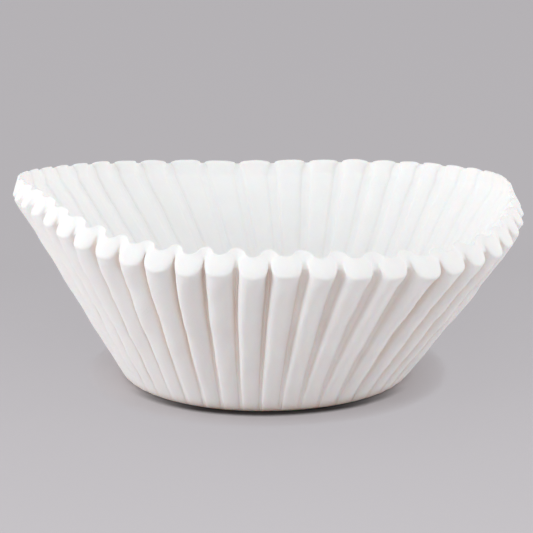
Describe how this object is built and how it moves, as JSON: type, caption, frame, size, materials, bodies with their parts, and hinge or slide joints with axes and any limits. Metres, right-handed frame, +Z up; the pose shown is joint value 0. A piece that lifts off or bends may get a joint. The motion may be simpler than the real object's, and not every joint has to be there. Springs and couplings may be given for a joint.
{
  "type": "paper coffee filter",
  "caption": "Basket-style paper coffee filter: a flat round base and a flared, fluted wall with a narrow upright strip at its scalloped rim.",
  "frame": {"origin": "centre of the underside of the flat base", "axes": "+Z up out of the open cup, -Y towards the front where the wall stands steepest, +X to the right seen from the front"},
  "size_m": [0.1497, 0.1558, 0.0596],
  "materials": {
    "paper": "matte creped white paper"
  },
  "bodies": {
    "root": {"filter_paper": "paper"}
  },
  "joints": []
}
